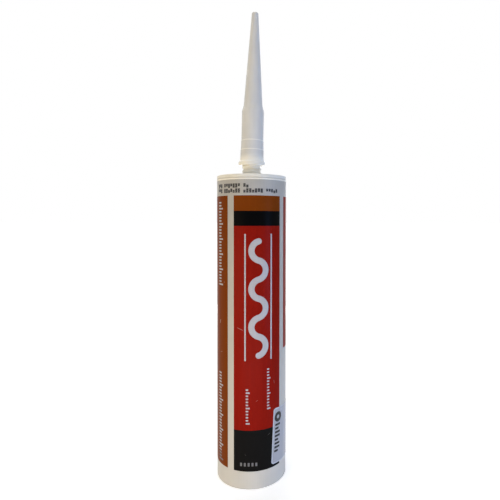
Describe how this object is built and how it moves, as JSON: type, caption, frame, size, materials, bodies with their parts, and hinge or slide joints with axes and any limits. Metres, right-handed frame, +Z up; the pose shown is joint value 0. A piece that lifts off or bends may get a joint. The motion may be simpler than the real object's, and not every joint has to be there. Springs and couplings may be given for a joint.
{
  "type": "construction adhesive cartridge",
  "caption": "Cylindrical adhesive cartridge for a caulking gun, with a screw-on tapered nozzle, threaded neck and a piston that slides up from its open foot.",
  "frame": {"origin": "centre of the open foot of the barrel, on the surface that it stands on", "axes": "+Z up along the barrel's axis to the nozzle, -Y towards the printed main panel"},
  "size_m": [0.0502, 0.0502, 0.3332],
  "materials": {
    "tube_plastic": "satin white extruded polyethylene",
    "head_plastic": "satin off-white moulded polyethylene",
    "nozzle_plastic": "satin, slightly waxy white moulded polyethylene",
    "piston_plastic": "satin natural polyethylene",
    "adhesive": "thick beige paste",
    "brown_ink": "smooth printed ink",
    "black_ink": "smooth printed ink",
    "red_ink": "smooth printed ink",
    "white_ink": "smooth printed ink",
    "code_ink": "ink-jet dots",
    "sticker_film": "glossy label film",
    "sticker_ink": "printed ink under gloss"
  },
  "bodies": {
    "cartridge": {"barrel_tube": "tube_plastic", "cartridge_head": "head_plastic", "adhesive_fill": "adhesive", "print_brown": "brown_ink", "print_black": "black_ink", "print_red": "red_ink", "print_white": "white_ink", "date_code": "code_ink", "side_sticker": "sticker_film", "sticker_marks": "sticker_ink"},
    "piston": {"piston": "piston_plastic"},
    "nozzle": {"nozzle": "nozzle_plastic"}
  },
  "joints": [
    {"name": "piston_slide", "type": "slide", "parent": "cartridge", "child": "piston", "axis": [0, 0, 1], "range_m": [0, 0.176], "deforming": ["adhesive_fill"]},
    {"name": "nozzle_lift", "type": "slide", "parent": "cartridge", "child": "nozzle", "axis": [0, 0, 1], "range_m": [0, 0.03]}
  ]
}
